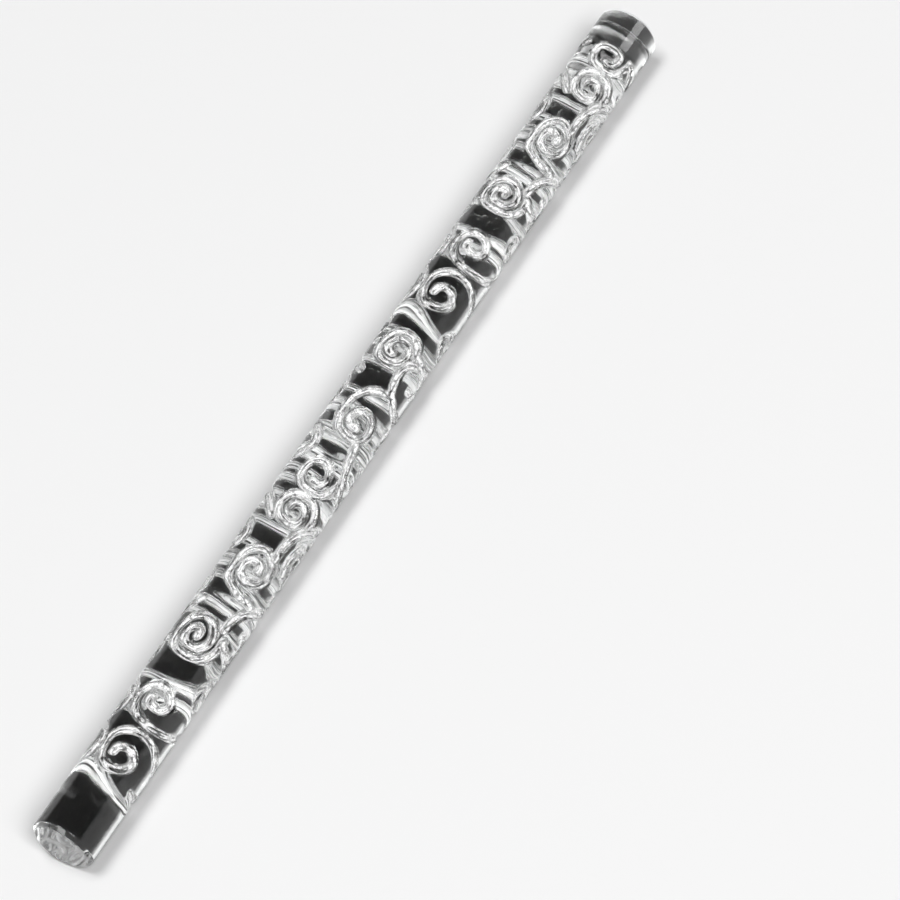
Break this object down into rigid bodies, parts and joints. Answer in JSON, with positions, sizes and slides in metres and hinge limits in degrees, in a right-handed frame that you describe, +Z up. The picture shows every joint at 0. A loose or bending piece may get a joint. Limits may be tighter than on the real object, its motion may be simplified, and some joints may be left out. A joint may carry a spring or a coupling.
{
  "type": "embossing rolling pin",
  "caption": "Clear acrylic embossing rolling pin: a solid round rod, plain at both ends and engraved with scroll grooves between them.",
  "frame": {"origin": "bottom centre of the rod's box, on the surface that the rod rests on", "axes": "+X along the rod to the end with the shorter plain stretch, +Z up, +Y across the rod"},
  "size_m": [0.335, 0.02, 0.02],
  "materials": {
    "engraved_rod": "polished clear acrylic, with milled grooves"
  },
  "bodies": {
    "root": {"engraved_rod": "engraved_rod"}
  },
  "joints": []
}
